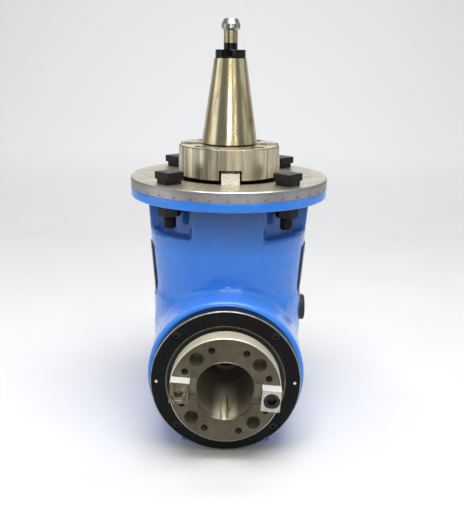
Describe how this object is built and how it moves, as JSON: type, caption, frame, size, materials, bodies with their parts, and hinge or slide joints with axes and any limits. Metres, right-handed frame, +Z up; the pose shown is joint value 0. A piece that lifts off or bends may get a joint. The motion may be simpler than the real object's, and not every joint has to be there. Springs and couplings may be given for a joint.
{
  "type": "angle head",
  "caption": "Right-angle milling head: steep-taper shank and drive ring above a graduated mounting plate, blue cast housing, bevel gears, forward spindle nose with drive keys.",
  "frame": {"origin": "centre of the mounting plate's top face, on the input axis", "axes": "+Z up along the input axis towards the pull stud, -Y along the output spindle towards its nose, +X to the right seen from the nose"},
  "size_m": [0.25, 0.3137, 0.501],
  "materials": {
    "blue_paint": "glossy enamel over cast iron, slight orange peel",
    "ground_steel": "ground, light oil film",
    "oiled_steel": "ground and hardened, warm oil film",
    "black_cover": "satin black",
    "black_oxide": "black oxide",
    "gear_steel": "hardened and oiled",
    "bearing_steel": "polished",
    "bronze": "machined",
    "seal_rubber": "matt black",
    "plate_metal": "dark anodised, bare",
    "plug_plastic": "matt black"
  },
  "bodies": {
    "head_body": {"housing": "blue_paint", "mounting_plate": "ground_steel", "plate_screws": "black_oxide", "t_bolts": "black_oxide", "t_bolt_nuts": "black_oxide", "front_cover": "black_cover", "front_cover_screws": "black_oxide", "cover_dowels": "ground_steel", "front_seal": "seal_rubber", "rear_cover": "black_cover", "rear_cover_screws": "black_oxide", "side_plate_left": "plate_metal", "side_plate_right": "plate_metal", "side_plate_pins": "ground_steel", "oil_plug": "plug_plastic", "oil_plug_washer": "bronze", "input_seal": "seal_rubber", "input_circlip": "black_oxide", "input_outer_races": "bearing_steel", "input_outer_spacer": "gear_steel", "front_outer_races": "bearing_steel", "rear_outer_race": "bearing_steel"},
    "input_drive": {"input_hub": "oiled_steel", "drive_blocks": "ground_steel", "drive_block_screws": "black_oxide", "thrust_washer": "bronze", "input_inner_races": "bearing_steel", "input_inner_spacer": "gear_steel", "input_lock_nut": "black_oxide", "input_gear": "gear_steel", "input_gear_key": "gear_steel", "input_gear_retainer": "black_oxide", "retainer_screw": "black_oxide", "float_screw": "black_oxide"},
    "floating_shank": {"taper_shank": "oiled_steel", "drive_ring": "oiled_steel", "drive_ring_screws": "black_oxide", "pull_stud": "black_oxide"},
    "spindle": {"output_spindle": "oiled_steel", "nose_keys": "oiled_steel", "nose_key_screws": "black_oxide", "output_gear": "gear_steel", "output_gear_key": "gear_steel", "front_inner_races": "bearing_steel", "front_lock_nut": "black_oxide", "spacer_sleeve": "gear_steel", "rear_inner_race": "bearing_steel", "rear_lock_nut": "black_oxide"},
    "draw_bolt": {"draw_bolt": "black_oxide"},
    "input_rolling_set": {"input_balls": "bearing_steel", "input_cages": "bronze"},
    "front_rolling_set": {"front_balls": "bearing_steel", "front_cages": "bronze"},
    "rear_rolling_set": {"rear_balls": "bearing_steel", "rear_cage": "bronze"}
  },
  "joints": [
    {"name": "input_spin", "type": "hinge", "parent": "head_body", "child": "input_drive", "pos_m": [0, 0, 0], "axis": [0, 0, 1], "continuous": true},
    {"name": "output_spin", "type": "hinge", "parent": "head_body", "child": "spindle", "pos_m": [0, 0, -0.22], "axis": [0, 1, 0], "continuous": true},
    {"name": "shank_float", "type": "slide", "parent": "input_drive", "child": "floating_shank", "axis": [0, 0, 1], "range_m": [0, 0.004]},
    {"name": "draw_bolt_turn", "type": "hinge", "parent": "spindle", "child": "draw_bolt", "pos_m": [0, 0, -0.22], "axis": [0, 1, 0], "continuous": true},
    {"name": "input_ball_orbit", "type": "hinge", "parent": "head_body", "child": "input_rolling_set", "pos_m": [0, 0, 0], "axis": [0, 0, 1], "continuous": true},
    {"name": "front_ball_orbit", "type": "hinge", "parent": "head_body", "child": "front_rolling_set", "pos_m": [0, 0, -0.22], "axis": [0, 1, 0], "continuous": true},
    {"name": "rear_ball_orbit", "type": "hinge", "parent": "head_body", "child": "rear_rolling_set", "pos_m": [0, 0, -0.22], "axis": [0, 1, 0], "continuous": true}
  ],
  "couplings": [
    {"joint": "output_spin", "follows": "input_spin", "ratio": 1},
    {"joint": "input_ball_orbit", "follows": "input_spin", "ratio": 0.44},
    {"joint": "front_ball_orbit", "follows": "input_spin", "ratio": 0.44},
    {"joint": "rear_ball_orbit", "follows": "input_spin", "ratio": 0.41}
  ]
}
